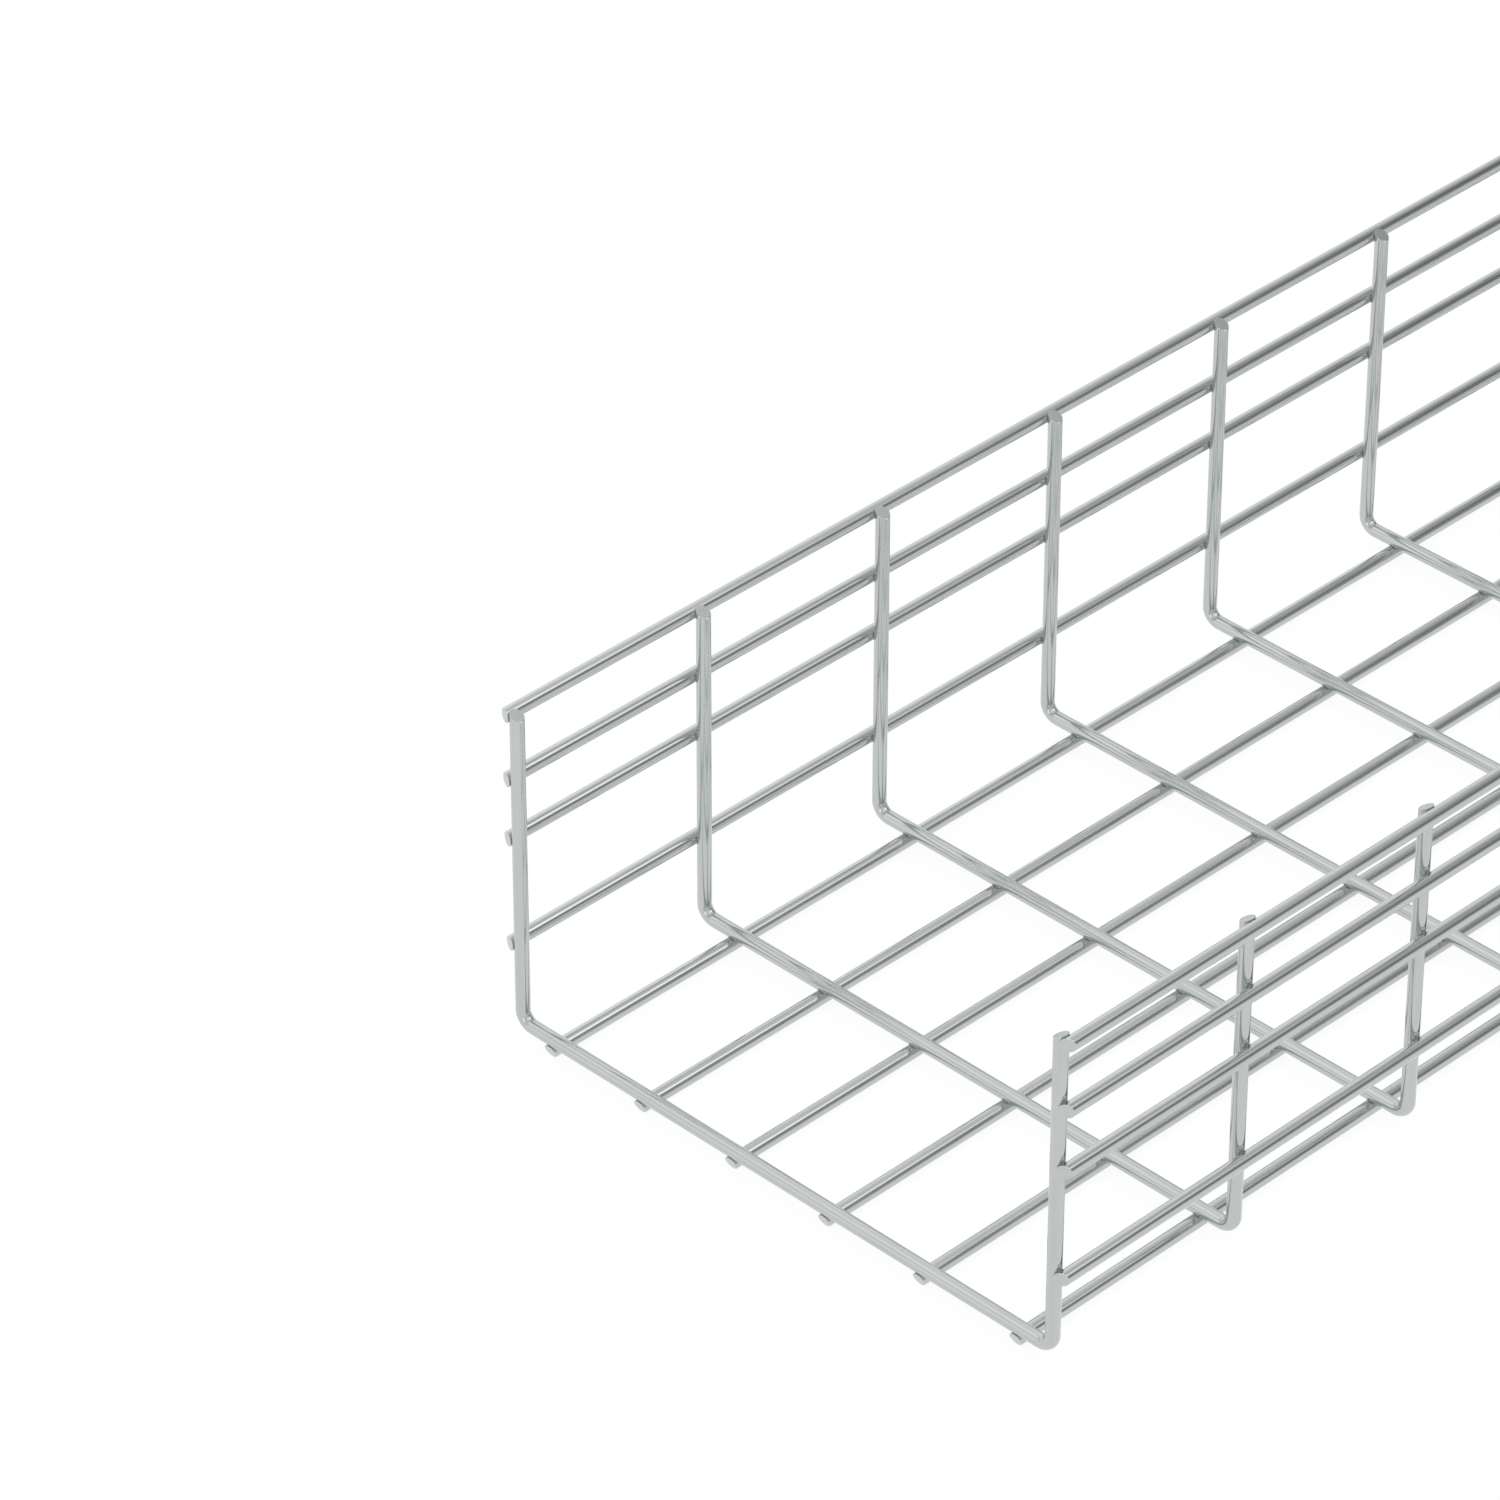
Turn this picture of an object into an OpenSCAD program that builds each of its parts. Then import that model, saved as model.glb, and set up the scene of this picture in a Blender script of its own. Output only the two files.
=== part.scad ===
// Wire mesh cable basket: U-bent cross wires welded to long wires that run under
// the floor and outside both walls. X runs along the basket, Y across it, Z up.
// The origin is midway along the basket, on the plane that it stands on.

/* [Length] */
// Number of bays between neighbouring cross wires
bay_count = 30; // [4:1:30]
// Distance from one cross wire to the next, middle to middle
bay_pitch = 100; // [50:5:150]

/* [Cross section] */
// Width over the outermost long wires
outer_width = 300; // [150:10:600]
// Distance between neighbouring floor wires, middle to middle
floor_pitch = 50; // [40:5:70]
// Rise from the cross wires' floor run to the first wall wire, middle to middle
wall_pitch_1 = 36; // [20:1:60]
// Rise from the first wall wire to the second
wall_pitch_2 = 50; // [12:1:80]
// Rise from the second wall wire to the third
wall_pitch_3 = 28; // [12:1:80]
// Rise from the third wall wire to the top one
wall_pitch_4 = 30; // [12:1:80]

/* [Wire] */
// Diameter of the cross wires
cross_wire_d = 6; // [4:0.5:8]
// Diameter of the long wires
long_wire_d = 6; // [4:0.5:8]
// Depth to which two crossing wires are pressed into each other at a weld
weld_depth = 1; // [0.2:0.1:1.4]
// Inside radius of the bend from the floor into a wall
bend_inner_r = 3; // [1:0.5:8]
// Slant of the cut across a leg's top: how far it drops away from the weld side
leg_cut_fall = 3; // [0:0.5:6]
// Slant of the cut across a long wire's end: how far it draws back from the weld side
long_wire_cut_fall = 2.5; // [0:0.5:6]

/* [Hidden] */
$fn = 48;
// Distance between the middles of two wires at a weld
weld_offset = (cross_wire_d + long_wire_d) / 2 - weld_depth;
bend_r = bend_inner_r + cross_wire_d / 2;

// Across the basket
wall_wire_y = (outer_width - long_wire_d) / 2;
leg_y = wall_wire_y - weld_offset;
floor_wire_count = floor(outer_width / floor_pitch);
floor_wire_ys = [for (i = [0 : floor_wire_count - 1]) (i - (floor_wire_count - 1) / 2) * floor_pitch];

// Up from the plane that the floor wires stand on
floor_wire_z = long_wire_d / 2;
floor_run_z = floor_wire_z + weld_offset;
wall_wire_1_z = floor_run_z + wall_pitch_1;
wall_wire_2_z = wall_wire_1_z + wall_pitch_2;
wall_wire_3_z = wall_wire_2_z + wall_pitch_3;
wall_wire_4_z = wall_wire_3_z + wall_pitch_4;
wall_wire_zs = [wall_wire_1_z, wall_wire_2_z, wall_wire_3_z, wall_wire_4_z];
leg_top_z = wall_wire_4_z + long_wire_d / 2;

// Along the basket
cross_wire_xs = [for (i = [0 : bay_count]) (i - bay_count / 2) * bay_pitch];
long_wire_length = bay_count * bay_pitch + cross_wire_d;

steel = "lightgray";

// Names, numbered from the -X end, from the -Y side and from the bottom up
function numbered(name, i) = str(name, i < 9 ? "_0" : "_", i + 1);
cross_wire_names = [for (i = [0 : bay_count]) numbered("cross_wire", i)];
floor_wire_names = [for (i = [0 : floor_wire_count - 1]) numbered("floor_wire", i)];
left_wall_wire_names = [for (i = [0 : len(wall_wire_zs) - 1]) numbered("left_wall_wire", i)];
right_wall_wire_names = [for (i = [0 : len(wall_wire_zs) - 1]) numbered("right_wall_wire", i)];

// A round wire along +X, middle at the origin
module wire_along_x(length, d) {
    rotate([0, 90, 0]) cylinder(h = length, d = d, center = true);
}

// The block that shears off the +X end of a wire along X. Its slanted face meets the
// wire's top at the origin and draws back below it.
module shear_cut(wire_d, fall) {
    block = 4 * wire_d;
    rotate([0, atan(fall / wire_d), 0]) translate([0, -block / 2, -block]) cube([block, block, 2 * block]);
}

// Half of a cross wire, from the middle of the floor run to the top of the +Y leg
module half_cross_wire() {
    floor_run = leg_y - bend_r;
    leg_foot_z = floor_run_z + bend_r;
    translate([0, 0, floor_run_z]) rotate([-90, 0, 0]) cylinder(h = floor_run, d = cross_wire_d);
    translate([0, floor_run, leg_foot_z])
        rotate([90, 0, 90]) rotate([0, 0, -90]) rotate_extrude(angle = 90)
            translate([bend_r, 0]) circle(d = cross_wire_d);
    difference() {
        translate([0, leg_y, leg_foot_z]) cylinder(h = leg_top_z - leg_foot_z, d = cross_wire_d);
        translate([0, leg_y + cross_wire_d / 2, leg_top_z]) rotate([0, -90, -90])
            shear_cut(cross_wire_d, leg_cut_fall);
    }
}

// The room that every long wire takes where it crosses one cross wire
module weld_seats() {
    seat_length = 2 * cross_wire_d;
    for (y = floor_wire_ys) translate([0, y, floor_wire_z]) wire_along_x(seat_length, long_wire_d);
    for (side = [-1, 1], z = wall_wire_zs)
        translate([0, side * wall_wire_y, z]) wire_along_x(seat_length, long_wire_d);
}

// One U-bent cross wire, hollowed where the long wires are pressed into it
module cross_wire(x) {
    color(steel) translate([x, 0, 0]) difference() {
        union() {
            half_cross_wire();
            mirror([0, 1, 0]) half_cross_wire();
        }
        weld_seats();
    }
}

// A long wire, turned about X so that its weld side, which is its top at first, meets the cross wires
module long_wire(y, z, turn) {
    color(steel) translate([0, y, z]) rotate([turn, 0, 0]) difference() {
        wire_along_x(long_wire_length, long_wire_d);
        for (end = [0, 1]) mirror([end, 0, 0]) translate([long_wire_length / 2, 0, long_wire_d / 2])
            shear_cut(long_wire_d, long_wire_cut_fall);
    }
}

for (i = [0 : bay_count])
    cross_wire(cross_wire_xs[i]);

for (i = [0 : floor_wire_count - 1])
    long_wire(floor_wire_ys[i], floor_wire_z, 0);

for (i = [0 : len(wall_wire_zs) - 1]) {
    long_wire(wall_wire_y, wall_wire_zs[i], 90);
    long_wire(-wall_wire_y, wall_wire_zs[i], -90);
}
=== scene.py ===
"""Dresses the wire mesh cable basket: its wires, their zinc finish, and a studio."""
import math

import bpy
from mathutils import Matrix, Quaternion, Vector


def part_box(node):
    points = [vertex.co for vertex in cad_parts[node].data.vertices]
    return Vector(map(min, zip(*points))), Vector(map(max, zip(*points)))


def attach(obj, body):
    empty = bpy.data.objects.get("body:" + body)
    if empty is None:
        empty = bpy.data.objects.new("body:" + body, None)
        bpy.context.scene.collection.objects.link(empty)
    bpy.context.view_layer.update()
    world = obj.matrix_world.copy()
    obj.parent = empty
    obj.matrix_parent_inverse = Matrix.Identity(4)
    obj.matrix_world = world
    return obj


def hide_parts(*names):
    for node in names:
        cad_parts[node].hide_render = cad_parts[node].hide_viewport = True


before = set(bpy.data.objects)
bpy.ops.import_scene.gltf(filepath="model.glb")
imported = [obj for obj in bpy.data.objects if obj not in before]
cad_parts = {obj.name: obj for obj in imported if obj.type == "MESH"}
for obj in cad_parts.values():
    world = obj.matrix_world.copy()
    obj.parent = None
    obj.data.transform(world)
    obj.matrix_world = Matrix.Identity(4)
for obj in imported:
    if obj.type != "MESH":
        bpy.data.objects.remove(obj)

bl_info = {
    "name": "Wire Mesh Cable Basket",
    "version": (1, 0, 0),
    "blender": (4, 5, 0),
    "location": "3D View > Sidebar > Basket",
    "description": "Models the wires of a cable basket round its frame and sets up a studio for it",
    "category": "Object",
}

MM = 0.001
QUARTER_TURN = math.pi / 2
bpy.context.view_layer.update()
BODY = "root"
SMOOTHING_ANGLE = math.radians(15)


# Places and sizes that come from the frame. The basket runs along X, and its cross wires stand in Y and Z.

def nodes_named(prefix):
    """The frame's nodes that start with prefix, in the order of their numbers."""
    nodes = sorted(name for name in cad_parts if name.startswith(prefix))
    if not nodes:
        raise RuntimeError(f"the frame has no node whose name starts with {prefix}")
    return nodes


def middle(node):
    """The middle of a node's box."""
    low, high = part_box(node)
    return (Vector(low) + Vector(high)) / 2


CROSS_WIRES = nodes_named("cross_wire_")
FLOOR_WIRES = nodes_named("floor_wire_")
LEFT_WALL_WIRES = nodes_named("left_wall_wire_")
RIGHT_WALL_WIRES = nodes_named("right_wall_wire_")
LONG_WIRES = FLOOR_WIRES + LEFT_WALL_WIRES + RIGHT_WALL_WIRES

CROSS_LOW, CROSS_HIGH = (Vector(corner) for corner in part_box(CROSS_WIRES[0]))
LONG_LOW, LONG_HIGH = (Vector(corner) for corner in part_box(FLOOR_WIRES[0]))
CROSS_RADIUS = (CROSS_HIGH.x - CROSS_LOW.x) / 2
LONG_RADIUS = (LONG_HIGH.z - LONG_LOW.z) / 2
RUN_Z = CROSS_LOW.z + CROSS_RADIUS
LEG_Y = CROSS_HIGH.y - CROSS_RADIUS
LEG_TOP_Z = CROSS_HIGH.z
FLOOR_WIRE_Z = LONG_LOW.z + LONG_RADIUS


# Sizes and colours

class BasketWireSettings(bpy.types.PropertyGroup):
    """Sizes of the wires that the frame's boxes don't give."""
    sides: bpy.props.IntProperty(
        name="Sides", description="Flat faces round a wire", default=48, min=12, max=96)
    bend_inner_radius: bpy.props.FloatProperty(
        name="Bend Radius", description="Inside radius of the bend from the floor into a wall",
        default=3 * MM, min=0.5 * MM, unit="LENGTH")
    bend_steps: bpy.props.IntProperty(
        name="Bend Steps", description="Rings of faces round each bend", default=12, min=4, max=48)
    leg_cut_fall: bpy.props.FloatProperty(
        name="Leg Cut Fall",
        description="Drop of the slanted cut across a leg's top, away from the weld side",
        default=3 * MM, min=0, unit="LENGTH")
    long_wire_cut_fall: bpy.props.FloatProperty(
        name="Long Wire Cut Fall",
        description="Slant of the cut across a long wire's end, back from the weld side",
        default=2.5 * MM, min=0, unit="LENGTH")
    rim_round: bpy.props.FloatProperty(
        name="Cut Rim Round", description="Rounding of the rim where a wire is sheared off",
        default=0.15 * MM, min=0.01 * MM, unit="LENGTH")


class BasketFinishSettings(bpy.types.PropertyGroup):
    """Colours and gloss of the zinc."""
    zinc_light: bpy.props.FloatVectorProperty(
        name="Light Zinc", description="Colour of the brighter streaks of the zinc coating",
        default=(0.53, 0.557, 0.546), min=0, max=1, size=3, subtype="COLOR")
    zinc_dark: bpy.props.FloatVectorProperty(
        name="Dark Zinc", description="Colour of the duller streaks of the zinc coating",
        default=(0.498, 0.525, 0.515), min=0, max=1, size=3, subtype="COLOR")
    gloss_low: bpy.props.FloatProperty(
        name="Least Roughness", description="Roughness of the smoothest streaks",
        default=0.10, min=0, max=1, subtype="FACTOR")
    gloss_high: bpy.props.FloatProperty(
        name="Most Roughness", description="Roughness of the dullest streaks",
        default=0.14, min=0, max=1, subtype="FACTOR")


class BasketStageSettings(bpy.types.PropertyGroup):
    """The studio round the basket."""
    floor_colour: bpy.props.FloatVectorProperty(
        name="Floor", description="Colour of the studio's floor",
        default=(0.97, 0.97, 0.97), min=0, max=1, size=3, subtype="COLOR")
    floor_size: bpy.props.FloatProperty(
        name="Floor Size", description="Length of the floor's sides", default=80.0, unit="LENGTH")
    ambient: bpy.props.FloatProperty(
        name="Ambient Light", description="Strength of the even light from all round",
        default=0.88, min=0)
    lens: bpy.props.FloatProperty(
        name="Lens", description="Focal length of the camera", default=183.0, unit="CAMERA")


# Working by hand: selections, modes and shapes

def deselect_all():
    """Leaves nothing selected."""
    bpy.ops.object.select_all(action="DESELECT")


def choose(piece, *others):
    """Selects these objects alone and makes piece the active one."""
    deselect_all()
    for obj in (piece, *others):
        obj.select_set(True)
    bpy.context.view_layer.objects.active = piece


def apply_transform(piece):
    """Moves a piece's place into its mesh, so that its object lies at the origin."""
    choose(piece)
    bpy.ops.object.transform_apply(location=True, rotation=True, scale=True)


def apply_modifier(piece, kind, **settings):
    """Adds one modifier to a piece and applies it."""
    choose(piece)
    modifier = piece.modifiers.new(kind.title(), kind)
    for key, value in settings.items():
        setattr(modifier, key, value)
    bpy.ops.object.modifier_apply(modifier=modifier.name)


def extrude_by(x=0.0, y=0.0, z=0.0):
    """In edit mode, extrudes what is selected."""
    bpy.ops.mesh.extrude_region_move(TRANSFORM_OT_translate={"value": (x, y, z)})


def select_faces(piece, wanted):
    """In edit mode, selects the faces that wanted(face) picks by their place or normal."""
    bpy.ops.mesh.select_mode(type="FACE")
    bpy.ops.mesh.select_all(action="DESELECT")
    bpy.ops.object.mode_set(mode="OBJECT")
    for face in piece.data.polygons:
        face.select = wanted(face)
    bpy.ops.object.mode_set(mode="EDIT")


def face_outwards(piece):
    """Turns every face of a closed piece outwards."""
    choose(piece)
    bpy.ops.object.mode_set(mode="EDIT")
    bpy.ops.mesh.select_all(action="SELECT")
    bpy.ops.mesh.normals_make_consistent(inside=False)
    bpy.ops.object.mode_set(mode="OBJECT")


def joined(pieces):
    """One object made of these."""
    choose(*pieces)
    bpy.ops.object.join()
    return bpy.context.object


def copy_of(piece, name):
    """A copy of a piece, with its own mesh."""
    choose(piece)
    bpy.ops.object.duplicate(linked=False)
    copied = bpy.context.object
    copied.name = name
    copied.data.name = name
    return copied


def place_at(piece, offset, turn=0.0):
    """Turns a piece about X, moves it, and leaves its object at the origin."""
    piece.rotation_euler.x = turn
    piece.location = offset
    apply_transform(piece)


def finish_piece(piece, node):
    """Gives a finished wire its material, and puts it in the place of its node."""
    choose(piece)
    bpy.ops.object.shade_smooth_by_angle(angle=SMOOTHING_ANGLE)
    piece.data.materials.clear()
    piece.data.materials.append(zinc_material())
    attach(piece, BODY)
    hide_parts(node)


# Wires

# Rings round a cross wire stand this many of a long wire's radii to each side of a weld.
WELD_REACH = 1.2
# A face belongs to a cut if it lies this close to it, in metres, and is turned this little from it.
CUT_TOLERANCE = 0.001 * MM
CUT_TURN_TOLERANCE = 0.01
RIM_SEGMENTS = 2
# Points of the two halves of a cross wire that lie this close together become one.
MERGE_DISTANCE = 0.01 * MM


def long_wire_bar(length, sides):
    """A plain round bar along X, its middle at the origin."""
    deselect_all()
    bpy.ops.mesh.primitive_circle_add(
        vertices=sides, radius=LONG_RADIUS, fill_type="NGON", location=(-length / 2, 0, 0),
        rotation=(0, QUARTER_TURN, 0))
    bar = bpy.context.object
    apply_transform(bar)
    bpy.ops.object.mode_set(mode="EDIT")
    bpy.ops.mesh.select_all(action="SELECT")
    extrude_by(x=length)
    bpy.ops.object.mode_set(mode="OBJECT")
    face_outwards(bar)
    return bar


def shear_end(wire, tip, outwards, weld_side, wire_diameter, fall, rim_round):
    """In edit mode, cuts a wire's end at a slant through its tip, and rounds the rim of the cut.

    The wire runs out along outwards. The tip is on its weld side, and the cut draws back from there."""
    normal = (outwards * wire_diameter - weld_side * fall).normalized()
    bpy.ops.mesh.select_all(action="SELECT")
    bpy.ops.mesh.bisect(plane_co=tip, plane_no=normal, use_fill=True, clear_outer=True)
    select_faces(wire, lambda face: abs((face.center - tip).dot(normal)) < CUT_TOLERANCE
                 and face.normal.cross(normal).length < CUT_TURN_TOLERANCE)
    bpy.ops.mesh.bevel(offset=rim_round, segments=RIM_SEGMENTS, affect="EDGES")


def model_long_wire(settings):
    """One long wire along X, both ends sheared off, its middle at the origin and its weld side on top."""
    reach = LONG_HIGH.x
    wire = long_wire_bar(2 * (reach + LONG_RADIUS), settings.sides)
    bpy.ops.object.mode_set(mode="EDIT")
    for end in (-1, 1):
        shear_end(wire, tip=Vector((end * reach, 0, LONG_RADIUS)), outwards=Vector((end, 0, 0)),
                  weld_side=Vector((0, 0, 1)), wire_diameter=2 * LONG_RADIUS,
                  fall=settings.long_wire_cut_fall, rim_round=settings.rim_round)
    bpy.ops.object.mode_set(mode="OBJECT")
    return wire


def floor_weld_places():
    """Where the +Y half of the cross wire at X = 0 crosses the wires under the floor."""
    return [Vector((0, middle(node).y, FLOOR_WIRE_Z)) for node in FLOOR_WIRES if middle(node).y > 0]


def wall_weld_places():
    """Where the +Y half of the cross wire at X = 0 crosses the wires outside the wall."""
    return [Vector((0, middle(node).y, middle(node).z)) for node in LEFT_WALL_WIRES]


def half_cross_wire(settings):
    """The +Y half of a cross wire at X = 0, open at the middle of its floor run."""
    bend_radius = settings.bend_inner_radius + CROSS_RADIUS
    bend_y = LEG_Y - bend_radius
    bend_z = RUN_Z + bend_radius
    weld_sides = (-WELD_REACH * LONG_RADIUS, WELD_REACH * LONG_RADIUS)
    floor_ys = sorted(place.y for place in floor_weld_places())
    wall_zs = sorted(place.z for place in wall_weld_places())
    floor_stops = [y + step for y in floor_ys for step in weld_sides]
    leg_stops = [z + step for z in wall_zs for step in weld_sides]
    if bend_y < floor_stops[-1]:
        raise RuntimeError("the bend is too wide: it reaches the outermost wire under the floor")

    deselect_all()
    bpy.ops.mesh.primitive_circle_add(
        vertices=settings.sides, radius=CROSS_RADIUS, fill_type="NOTHING", location=(0, 0, RUN_Z),
        rotation=(QUARTER_TURN, 0, 0))
    wire = bpy.context.object
    apply_transform(wire)
    bpy.ops.object.mode_set(mode="EDIT")
    bpy.ops.mesh.select_all(action="SELECT")
    here = 0.0
    for stop in floor_stops + [bend_y]:
        extrude_by(y=stop - here)
        here = stop
    bpy.ops.mesh.spin(
        steps=settings.bend_steps, angle=QUARTER_TURN, center=(0, bend_y, bend_z), axis=(-1, 0, 0))
    here = bend_z
    for stop in leg_stops + [LEG_TOP_Z + CROSS_RADIUS]:
        if stop > here:
            extrude_by(z=stop - here)
            here = stop
    shear_end(wire, tip=Vector((0, LEG_Y + CROSS_RADIUS, LEG_TOP_Z)), outwards=Vector((0, 0, 1)),
              weld_side=Vector((0, 1, 0)), wire_diameter=2 * CROSS_RADIUS,
              fall=settings.leg_cut_fall, rim_round=settings.rim_round)
    bpy.ops.object.mode_set(mode="OBJECT")
    return wire


def long_wire_room(settings):
    """The room that the long wires take where they cross the cross wire at X = 0."""
    stubs = []
    for place in floor_weld_places() + wall_weld_places():
        stub = long_wire_bar(4 * CROSS_RADIUS, settings.sides)
        place_at(stub, place)
        stubs.append(stub)
    room = joined(stubs)
    apply_modifier(room, "MIRROR", use_axis=(False, True, False))
    face_outwards(room)
    return room


def model_cross_wire(settings):
    """One cross wire at X = 0, seated on the long wires."""
    wire = half_cross_wire(settings)
    apply_modifier(wire, "MIRROR", use_axis=(False, True, False), merge_threshold=MERGE_DISTANCE)
    face_outwards(wire)
    room = long_wire_room(settings)
    apply_modifier(wire, "BOOLEAN", operation="DIFFERENCE", object=room, solver="EXACT")
    bpy.data.objects.remove(room)
    return wire


def weld_turn(node):
    """The turn about X that brings the top of a long wire round to the side where it is welded."""
    if node in LEFT_WALL_WIRES:
        return QUARTER_TURN
    if node in RIGHT_WALL_WIRES:
        return -QUARTER_TURN
    return 0.0


# Place along the wire, which the finish follows round the bends

ALONG_WIRE = "along_wire"


def store_along_wire(piece, station, offset):
    """Stores each point's place on the straightened wire: its way along it, and its two ways across it.

    The offset sets each wire's way along apart from the others', so that no two look the same."""
    attribute = piece.data.attributes.new(ALONG_WIRE, "FLOAT_VECTOR", "POINT")
    for vertex, value in zip(piece.data.vertices, attribute.data):
        along, out, side = station(vertex.co)
        value.vector = (along + offset, out, side)


def long_wire_station(centre):
    """Gives the function that finds a point's place on a long wire."""
    return lambda point: (point.x, point.y - centre.y, point.z - centre.z)


def cross_wire_station(centre_x, bend_radius):
    """Gives the function that finds a point's place on a cross wire once its two bends are straightened."""
    bend_y = LEG_Y - bend_radius
    bend_z = RUN_Z + bend_radius
    bend_length = bend_radius * QUARTER_TURN

    def station(point):
        y, z, side = abs(point.y), point.z, point.x - centre_x
        if y <= bend_y and z <= RUN_Z + CROSS_RADIUS:
            along, out = y, RUN_Z - z
        elif z >= bend_z:
            along, out = bend_y + bend_length + z - bend_z, y - LEG_Y
        else:
            turn = math.atan2(y - bend_y, bend_z - z)
            along = bend_y + bend_radius * turn
            out = math.hypot(y - bend_y, bend_z - z) - bend_radius
        return math.copysign(along, point.y), out, side

    return station


# Materials

# Sockets of the Mix node, which share their names: its two inputs and its output for numbers and for colours
MIX_NUMBERS = 2, 3
MIX_NUMBER_RESULT = 0
MIX_COLOURS = 6, 7
MIX_COLOUR_RESULT = 2

# Zinc streaks: their number to a metre across the wire, and how much fewer there are along it
STREAKS_ACROSS = 300.0
STREAKS_ALONG = 0.08
# Most of the streak pattern's values lie between these two
STREAK_LOW = 0.3
STREAK_HIGH = 0.7
# Faint lines of the drawing die, in the same way, and their relief
LINES_ACROSS = 1600.0
LINES_ALONG = 0.01
LINE_HEIGHT = 0.1 * MM
LINE_STRENGTH = 0.005

# How much of the floor's look is plain white glow, and how bright that glow is
FLOOR_GLOW_SHARE = 0.88
FLOOR_GLOW = 1.03


def add_node(tree, kind, place, **values):
    """Adds a shader node. Names of inputs are written with _ for a space."""
    node = tree.nodes.new("ShaderNode" + kind)
    node.location = place
    for key, value in values.items():
        if hasattr(node, key):
            setattr(node, key, value)
        else:
            node.inputs[key.replace("_", " ")].default_value = value
    return node


def new_material(name):
    """An empty material with only its output node."""
    material = bpy.data.materials.new(name)
    material.use_nodes = True
    tree = material.node_tree
    tree.nodes.clear()
    output = add_node(tree, "OutputMaterial", (900, 0))
    return material, tree, output


def zinc_material():
    """Bright zinc on drawn wire: long soft streaks of tone and gloss, and faint drawing lines."""
    name = "galvanised_zinc"
    if name in bpy.data.materials:
        return bpy.data.materials[name]
    finish = bpy.context.scene.basket_finish
    material, tree, output = new_material(name)
    link = tree.links.new
    zinc = add_node(tree, "BsdfPrincipled", (600, 0), Metallic=1.0)
    link(zinc.outputs["BSDF"], output.inputs["Surface"])

    place = add_node(tree, "Attribute", (-900, 0), attribute_name=ALONG_WIRE, attribute_type="GEOMETRY")
    stretched = add_node(tree, "Mapping", (-700, 200), Scale=(STREAKS_ALONG, 1, 1))
    link(place.outputs["Vector"], stretched.inputs["Vector"])
    streaks = add_node(tree, "TexNoise", (-500, 200), Scale=STREAKS_ACROSS, Detail=3.0, Roughness=0.55)
    link(stretched.outputs["Vector"], streaks.inputs["Vector"])
    contrast = add_node(tree, "MapRange", (-200, 250), From_Min=STREAK_LOW, From_Max=STREAK_HIGH)
    link(streaks.outputs["Fac"], contrast.inputs["Value"])
    tone = add_node(tree, "Mix", (100, 250), data_type="RGBA")
    for socket, colour in zip(MIX_COLOURS, (finish.zinc_dark, finish.zinc_light)):
        tone.inputs[socket].default_value = (*colour, 1)
    link(contrast.outputs["Result"], tone.inputs["Factor"])
    link(tone.outputs[MIX_COLOUR_RESULT], zinc.inputs["Base Color"])
    gloss = add_node(tree, "MapRange", (-200, 0), From_Min=STREAK_LOW, From_Max=STREAK_HIGH,
                     To_Min=finish.gloss_high, To_Max=finish.gloss_low)
    link(streaks.outputs["Fac"], gloss.inputs["Value"])
    link(gloss.outputs["Result"], zinc.inputs["Roughness"])

    drawn = add_node(tree, "Mapping", (-700, -250), Scale=(LINES_ALONG, 1, 1))
    link(place.outputs["Vector"], drawn.inputs["Vector"])
    lines = add_node(tree, "TexNoise", (-500, -250), Scale=LINES_ACROSS, Detail=2.0)
    link(drawn.outputs["Vector"], lines.inputs["Vector"])
    relief = add_node(tree, "Bump", (100, -300), Strength=LINE_STRENGTH, Distance=LINE_HEIGHT)
    link(lines.outputs["Fac"], relief.inputs["Height"])
    link(relief.outputs["Normal"], zinc.inputs["Normal"])
    return material


def seen_directly(tree, place):
    """A node whose output is 1 for camera, glossy and transmission rays, and 0 for the rest."""
    x, y = place
    path = add_node(tree, "LightPath", (x - 400, y))
    seen_or_mirrored = add_node(tree, "Math", (x - 200, y), operation="MAXIMUM")
    tree.links.new(path.outputs["Is Camera Ray"], seen_or_mirrored.inputs[0])
    tree.links.new(path.outputs["Is Glossy Ray"], seen_or_mirrored.inputs[1])
    any_of_them = add_node(tree, "Math", place, operation="MAXIMUM")
    tree.links.new(seen_or_mirrored.outputs[0], any_of_them.inputs[0])
    tree.links.new(path.outputs["Is Transmission Ray"], any_of_them.inputs[1])
    return any_of_them.outputs[0]


def floor_material(colour):
    """A pale floor that shows almost white and keeps a soft shadow."""
    material, tree, output = new_material("studio_floor")
    link = tree.links.new
    paint = add_node(tree, "BsdfDiffuse", (0, -100), Color=(*colour, 1))
    glow = add_node(tree, "Emission", (0, -250), Strength=FLOOR_GLOW)
    seen = add_node(tree, "MixShader", (300, -150), Fac=FLOOR_GLOW_SHARE)
    link(paint.outputs[0], seen.inputs[1])
    link(glow.outputs[0], seen.inputs[2])
    surface = add_node(tree, "MixShader", (600, 0))
    link(seen_directly(tree, (300, 200)), surface.inputs["Fac"])
    link(paint.outputs[0], surface.inputs[1])
    link(seen.outputs[0], surface.inputs[2])
    link(surface.outputs[0], output.inputs["Surface"])
    return material


# Studio. The near end is the -X one. Angles are in degrees: azimuth from +X towards +Y, elevation up from
# the floor.

CAMERA_AZIMUTH = 225.01
CAMERA_ELEVATION = 35.0
# From the middle of the near end's floor run to the camera
CAMERA_OFFSET = Vector((-1.6252, -1.6094, 1.8014))
SENSOR_WIDTH_MM = 36.0
CLIP_START = 0.05
CLIP_END = 200.0

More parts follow.
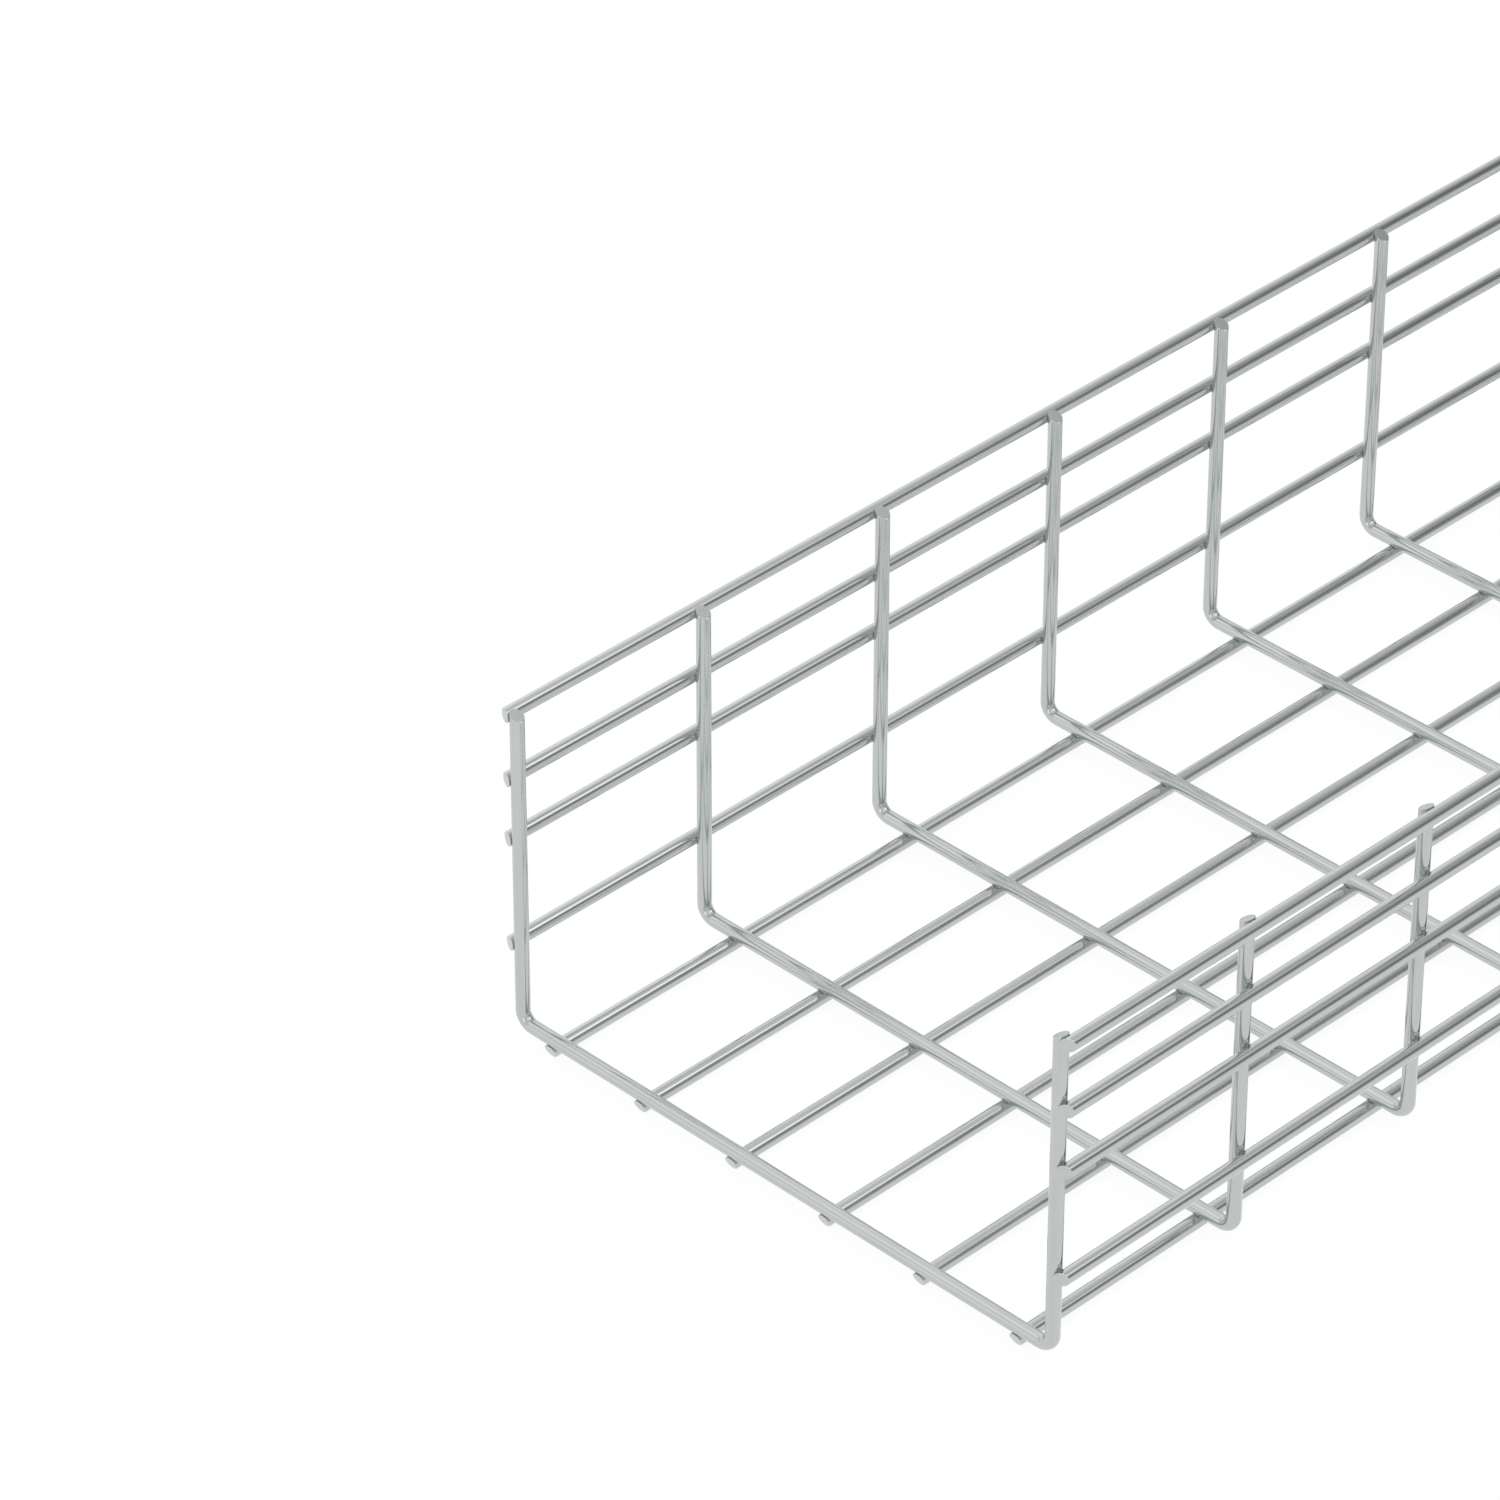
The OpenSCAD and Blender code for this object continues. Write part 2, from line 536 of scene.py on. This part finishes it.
# Soft oval lights, each with the strength in its middle. A negative one is a grey flag, which takes
# light away. The rows marked as fitted have their direction, roll, width and height from a least squares
# fit by another program, rounded to whole degrees. Their strengths and the ambient level started from
# that fit and were then changed. The other rows were chosen one by one. All together they take the
# world's strength just below zero around azimuth -17, elevation 37.
SOFT_LIGHTS = (
    # The brightest, high over the right wall and towards the far end (fitted)
    {"azimuth": -50, "elevation": 45, "roll": 43, "width": 23, "height": 12, "strength": 2.3},
    # High over the middle of the right wall
    {"azimuth": -100, "elevation": 53, "roll": 0, "width": 25, "height": 15, "strength": 1.2},
    # Low in front of the near end
    {"azimuth": -168, "elevation": 4, "roll": 0, "width": 24, "height": 18, "strength": 1.2},
    # Low beside the near end, on the left (fitted)
    {"azimuth": 146, "elevation": 8, "roll": 10, "width": 20, "height": 26, "strength": 0.34},
    # Broad, high over the left wall and towards the near end (fitted)
    {"azimuth": 130, "elevation": 54, "roll": -30, "width": 46, "height": 26, "strength": 0.41},
    # Low beside the middle of the left wall
    {"azimuth": 85, "elevation": 12, "roll": 0, "width": 22, "height": 16, "strength": 0.9},
    # Tall, beside the left wall and towards the far end (fitted)
    {"azimuth": 58, "elevation": 28, "roll": 3, "width": 26, "height": 44, "strength": 0.47},
    # Flag beside the right wall, below the brightest light (fitted)
    {"azimuth": -54, "elevation": 17, "roll": -4, "width": 44, "height": 22, "strength": -0.55},
    # Flag over the far end (fitted)
    {"azimuth": -17, "elevation": 37, "roll": 13, "width": 50, "height": 18, "strength": -0.95},
)


def direction(azimuth, elevation):
    """A unit vector that points this way."""
    a, e = math.radians(azimuth), math.radians(elevation)
    return Vector((math.cos(a) * math.cos(e), math.sin(a) * math.cos(e), math.sin(e)))


def soft_light(tree, place, azimuth, elevation, roll, width, height, strength):
    """Nodes for one soft oval light, far off in the direction of azimuth and elevation and turned by roll.

    It fades from its middle to its edge, which is width to each side and height up and down."""
    x, y = place
    away = direction(azimuth, elevation)
    across = Vector((0, 0, 1)).cross(away).normalized()
    across.rotate(Quaternion(away, math.radians(roll)))
    upwards = away.cross(across)
    axes = Matrix((across, upwards, away)).transposed()
    towards = add_node(tree, "TexCoord", (x, y))
    oval = add_node(tree, "Mapping", (x + 200, y), vector_type="TEXTURE", Location=away,
                    Rotation=axes.to_euler(),
                    Scale=(math.sin(math.radians(width)), math.sin(math.radians(height)), 1))
    tree.links.new(towards.outputs["Generated"], oval.inputs["Vector"])
    fade = add_node(tree, "TexGradient", (x + 400, y), gradient_type="SPHERICAL")
    tree.links.new(oval.outputs["Vector"], fade.inputs["Vector"])
    glow = add_node(tree, "MapRange", (x + 600, y), interpolation_type="SMOOTHSTEP", To_Max=strength)
    tree.links.new(fade.outputs["Fac"], glow.inputs["Value"])
    return glow.outputs["Result"]


def set_world(scene, ambient):
    """Even light from all round with the soft lights in it, and plain white where it is seen directly."""
    world = bpy.data.worlds.new("studio")
    scene.world = world
    world.use_nodes = True
    tree = world.node_tree
    tree.nodes.clear()
    link = tree.links.new
    total = None
    for number, light in enumerate(SOFT_LIGHTS):
        glow = soft_light(tree, (-1600, 1800 - 300 * number), **light)
        added = add_node(tree, "Math", (150 * number - 700, 300), operation="ADD")
        if total:
            link(total, added.inputs[0])
        else:
            added.inputs[0].default_value = ambient
        link(glow, added.inputs[1])
        total = added.outputs[0]
    path = add_node(tree, "LightPath", (700, 0))
    strength = add_node(tree, "Mix", (900, 200))
    lit, seen = MIX_NUMBERS
    link(path.outputs["Is Camera Ray"], strength.inputs["Factor"])
    link(total, strength.inputs[lit])
    strength.inputs[seen].default_value = 1.0
    sky = add_node(tree, "Background", (1100, 200), Color=(1, 1, 1, 1))
    link(strength.outputs[MIX_NUMBER_RESULT], sky.inputs["Strength"])
    output = add_node(tree, "OutputWorld", (1300, 200))
    link(sky.outputs[0], output.inputs["Surface"])


def add_floor(stage):
    """The pale floor that the basket stands on."""
    deselect_all()
    bpy.ops.mesh.primitive_plane_add(size=stage.floor_size)
    floor = bpy.context.object
    floor.name = "studio_floor"
    floor.data.materials.append(floor_material(stage.floor_colour))


def add_camera(scene, lens):
    """The camera, which looks down on the near end from beyond the right wall."""
    near_end = Vector((middle(CROSS_WIRES[0]).x, 0, RUN_Z))
    camera = bpy.data.objects.new("camera", bpy.data.cameras.new("camera"))
    scene.collection.objects.link(camera)
    camera.data.sensor_width = SENSOR_WIDTH_MM
    camera.data.lens = lens
    camera.data.clip_start = CLIP_START
    camera.data.clip_end = CLIP_END
    camera.location = near_end + CAMERA_OFFSET
    camera.rotation_mode = "QUATERNION"
    camera.rotation_quaternion = (-direction(CAMERA_AZIMUTH, CAMERA_ELEVATION)).to_track_quat("-Z", "Y")
    scene.camera = camera


# Operators: one for each kind of wire, and one for the stage

class BASKET_OT_cross_wires(bpy.types.Operator):
    """Models one U-bent cross wire and copies it to the place of every cross wire"""
    bl_idname = "basket.cross_wires"
    bl_label = "Cross Wires"

    def execute(self, context):
        settings = context.scene.basket_wires
        model = model_cross_wire(settings)
        bend_radius = settings.bend_inner_radius + CROSS_RADIUS
        wire_length = 2 * (LEG_Y + LEG_TOP_Z)
        for number, node in enumerate(CROSS_WIRES):
            wire = copy_of(model, node + "_zinc")
            x = middle(node).x
            place_at(wire, (x, 0, 0))
            store_along_wire(wire, cross_wire_station(x, bend_radius), number * wire_length)
            finish_piece(wire, node)
        bpy.data.objects.remove(model)
        return {"FINISHED"}


class BASKET_OT_long_wires(bpy.types.Operator):
    """Models one straight long wire and copies it to the place of every floor and wall wire"""
    bl_idname = "basket.long_wires"
    bl_label = "Floor and Wall Wires"

    def execute(self, context):
        model = model_long_wire(context.scene.basket_wires)
        wire_length = LONG_HIGH.x - LONG_LOW.x
        for number, node in enumerate(LONG_WIRES):
            wire = copy_of(model, node + "_zinc")
            centre = middle(node)
            place_at(wire, centre, turn=weld_turn(node))
            store_along_wire(wire, long_wire_station(centre), -(number + 1) * wire_length)
            finish_piece(wire, node)
        bpy.data.objects.remove(model)
        return {"FINISHED"}


class BASKET_OT_stage(bpy.types.Operator):
    """Sets up the floor, the light and the camera"""
    bl_idname = "basket.stage"
    bl_label = "Stage"

    def execute(self, context):
        scene = context.scene
        stage = scene.basket_stage
        add_floor(stage)
        set_world(scene, stage.ambient)
        add_camera(scene, stage.lens)
        scene.view_settings.view_transform = "Standard"
        return {"FINISHED"}


class BASKET_PT_panel(bpy.types.Panel):
    """Sizes, finish and stage of the basket"""
    bl_idname = "BASKET_PT_panel"
    bl_label = "Cable Basket"
    bl_space_type = "VIEW_3D"
    bl_region_type = "UI"
    bl_category = "Basket"

    def draw(self, context):
        scene = context.scene
        for title, group in (("Wires", scene.basket_wires), ("Finish", scene.basket_finish),
                             ("Stage", scene.basket_stage)):
            box = self.layout.box()
            box.label(text=title)
            for key in group.__annotations__:
                box.prop(group, key)
        for operator in OPERATORS:
            self.layout.operator(operator.bl_idname)


SETTINGS = {"basket_wires": BasketWireSettings, "basket_finish": BasketFinishSettings,
            "basket_stage": BasketStageSettings}
OPERATORS = (BASKET_OT_cross_wires, BASKET_OT_long_wires, BASKET_OT_stage)
CLASSES = (*SETTINGS.values(), *OPERATORS, BASKET_PT_panel)


def register():
    """Registers the settings, the operators and the panel."""
    for cls in CLASSES:
        bpy.utils.register_class(cls)
    for name, group in SETTINGS.items():
        setattr(bpy.types.Scene, name, bpy.props.PointerProperty(type=group))


def unregister():
    """Takes them away again."""
    for name in SETTINGS:
        delattr(bpy.types.Scene, name)
    for cls in reversed(CLASSES):
        bpy.utils.unregister_class(cls)


def main():
    """Makes the basket and its stage."""
    register()
    bpy.ops.basket.cross_wires()
    bpy.ops.basket.long_wires()
    bpy.ops.basket.stage()


if __name__ == "__main__":
    main()
